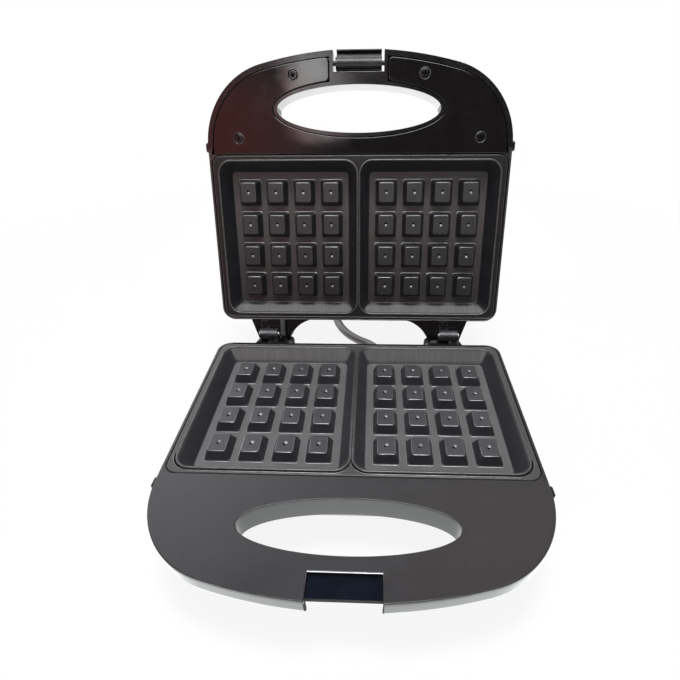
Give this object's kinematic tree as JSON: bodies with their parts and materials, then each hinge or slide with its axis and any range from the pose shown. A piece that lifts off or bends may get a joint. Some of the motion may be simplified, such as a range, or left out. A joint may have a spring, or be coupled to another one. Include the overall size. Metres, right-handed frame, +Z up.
{
  "type": "waffle maker",
  "caption": "Hinged electric waffle maker standing open: coated plates with rectangular pockets, looped handles, a swinging latch and a mains cord.",
  "frame": {"origin": "middle of the footprint on the table, cord left out", "axes": "+Z up, +Y from the handles towards the hinges and the cord, +X to the right of someone facing the handles"},
  "size_m": [0.2514, 0.4119, 0.2361],
  "materials": {
    "shell_black": "glossy moulded black plastic",
    "cover_black": "smooth black plastic, slightly lighter than the shell",
    "plate_coated": "cast aluminium with a dark satin non-stick coating",
    "hinge_black": "black painted steel strap",
    "screw_steel": "blackened steel",
    "pin_steel": "plain bright steel",
    "pin_plated": "nickel-plated brass",
    "sheet_steel": "bare aluminised sheet",
    "heater_steel": "dull grey heater sheath",
    "control_white": "off-white heat-proof plastic",
    "lead_sheath": "glass-braid sleeve",
    "sleeve_grey": "dark grey silicone",
    "foot_rubber": "matt black rubber",
    "cord_black": "semi-gloss black flexible sheath",
    "lens_red": "clear red lens",
    "lens_green": "clear green lens",
    "lamp_glass": "small neon lamp"
  },
  "bodies": {
    "base": {"base_shell": "shell_black", "base_handle_cover": "cover_black", "base_cover_screws": "screw_steel", "rubber_feet": "foot_rubber", "lower_waffle_plate": "plate_coated", "lower_heating_element": "heater_steel", "lower_element_straps": "sheet_steel", "lower_heat_shield": "sheet_steel", "lower_plate_screws": "screw_steel", "lower_shield_screws": "screw_steel", "thermostat": "control_white", "thermal_fuse": "control_white", "terminal_block": "control_white", "base_leads": "lead_sheath", "base_hinge_leaves": "hinge_black", "base_hinge_screws": "screw_steel", "hinge_pins": "pin_steel", "strain_relief": "cord_black", "power_cord": "cord_black", "cord_coil": "cord_black", "cord_tail": "cord_black", "plug_body": "cord_black", "plug_pins": "pin_plated"},
    "lid": {"lid_shell": "shell_black", "lid_handle_cover": "cover_black", "lid_cover_screws": "screw_steel", "upper_waffle_plate": "plate_coated", "upper_heating_element": "heater_steel", "upper_element_straps": "sheet_steel", "upper_heat_shield": "sheet_steel", "upper_plate_screws": "screw_steel", "upper_shield_screws": "screw_steel", "lid_leads": "lead_sheath", "lead_sleeve": "sleeve_grey", "lid_hinge_leaves": "hinge_black", "lid_hinge_screws": "screw_steel", "power_lens": "lens_red", "ready_lens": "lens_green", "indicator_lamps": "lamp_glass", "latch_pin": "pin_steel"},
    "latch": {"latch_clip": "shell_black"}
  },
  "joints": [
    {"name": "lid_hinge", "type": "hinge", "parent": "base", "child": "lid", "pos_m": [0, 0.05862, 0.044], "axis": [1, 0, 0], "range_deg": [0, 111]},
    {"name": "latch_pivot", "type": "hinge", "parent": "lid", "child": "latch", "pos_m": [0, 0.13508, 0.22781], "axis": [1, 0, 0], "range_deg": [0, 115]}
  ]
}
